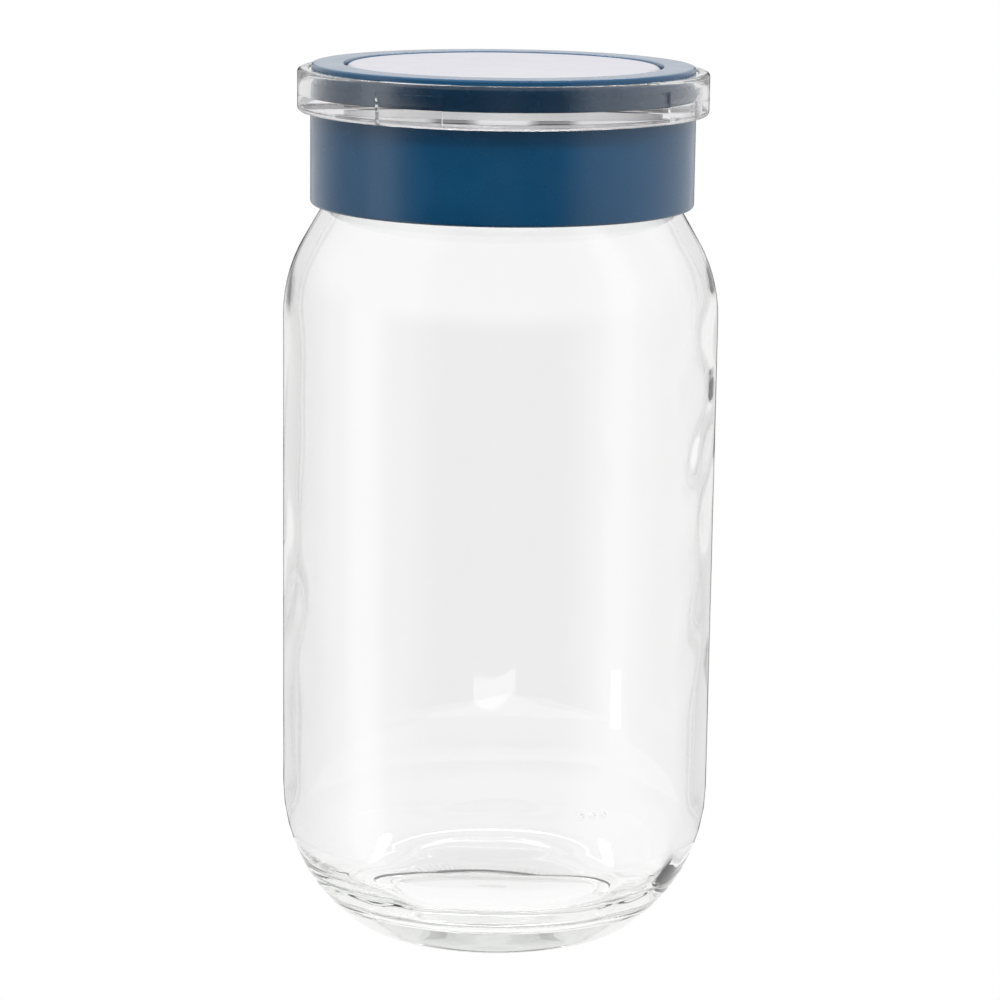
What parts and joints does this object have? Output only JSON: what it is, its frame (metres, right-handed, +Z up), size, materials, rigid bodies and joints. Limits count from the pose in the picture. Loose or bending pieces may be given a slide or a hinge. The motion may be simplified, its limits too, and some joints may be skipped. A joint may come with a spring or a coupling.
{
  "type": "glass storage jar with screw lid",
  "caption": "Tall round glass storage jar with a sloping shoulder and a screw lid: blue collar, clear upstanding cover, blue ring and frosted window.",
  "frame": {"origin": "centre of the circle that the jar stands on", "axes": "+Z up along the jar's axis, towards the lid"},
  "size_m": [0.11, 0.11, 0.221],
  "materials": {
    "glass": "clear soda-lime glass, fire polished",
    "silicone": "translucent white silicone",
    "blue_plastic": "satin moulded polypropylene",
    "clear_plastic": "clear polished styrene acrylonitrile",
    "frosted_plastic": "frosted white moulded plastic, smooth top"
  },
  "bodies": {
    "jar": {"glass_jar": "glass"},
    "lid_liner": {"jar_seal": "silicone"},
    "lid": {"screw_collar": "blue_plastic", "cover_seal": "silicone", "clear_cover": "clear_plastic", "top_ring": "blue_plastic", "window_disc": "frosted_plastic"}
  },
  "joints": [
    {"name": "lid_rise", "type": "slide", "parent": "jar", "child": "lid_liner", "axis": [0, 0, 1], "range_m": [0, 0.00565]},
    {"name": "lid_turn", "type": "hinge", "parent": "lid_liner", "child": "lid", "pos_m": [0, 0, 0.2], "axis": [0, 0, 1], "range_deg": [0, 400]}
  ],
  "couplings": [
    {"joint": "lid_rise", "follows": "lid_turn", "m_per_rad": 0.00080851}
  ]
}
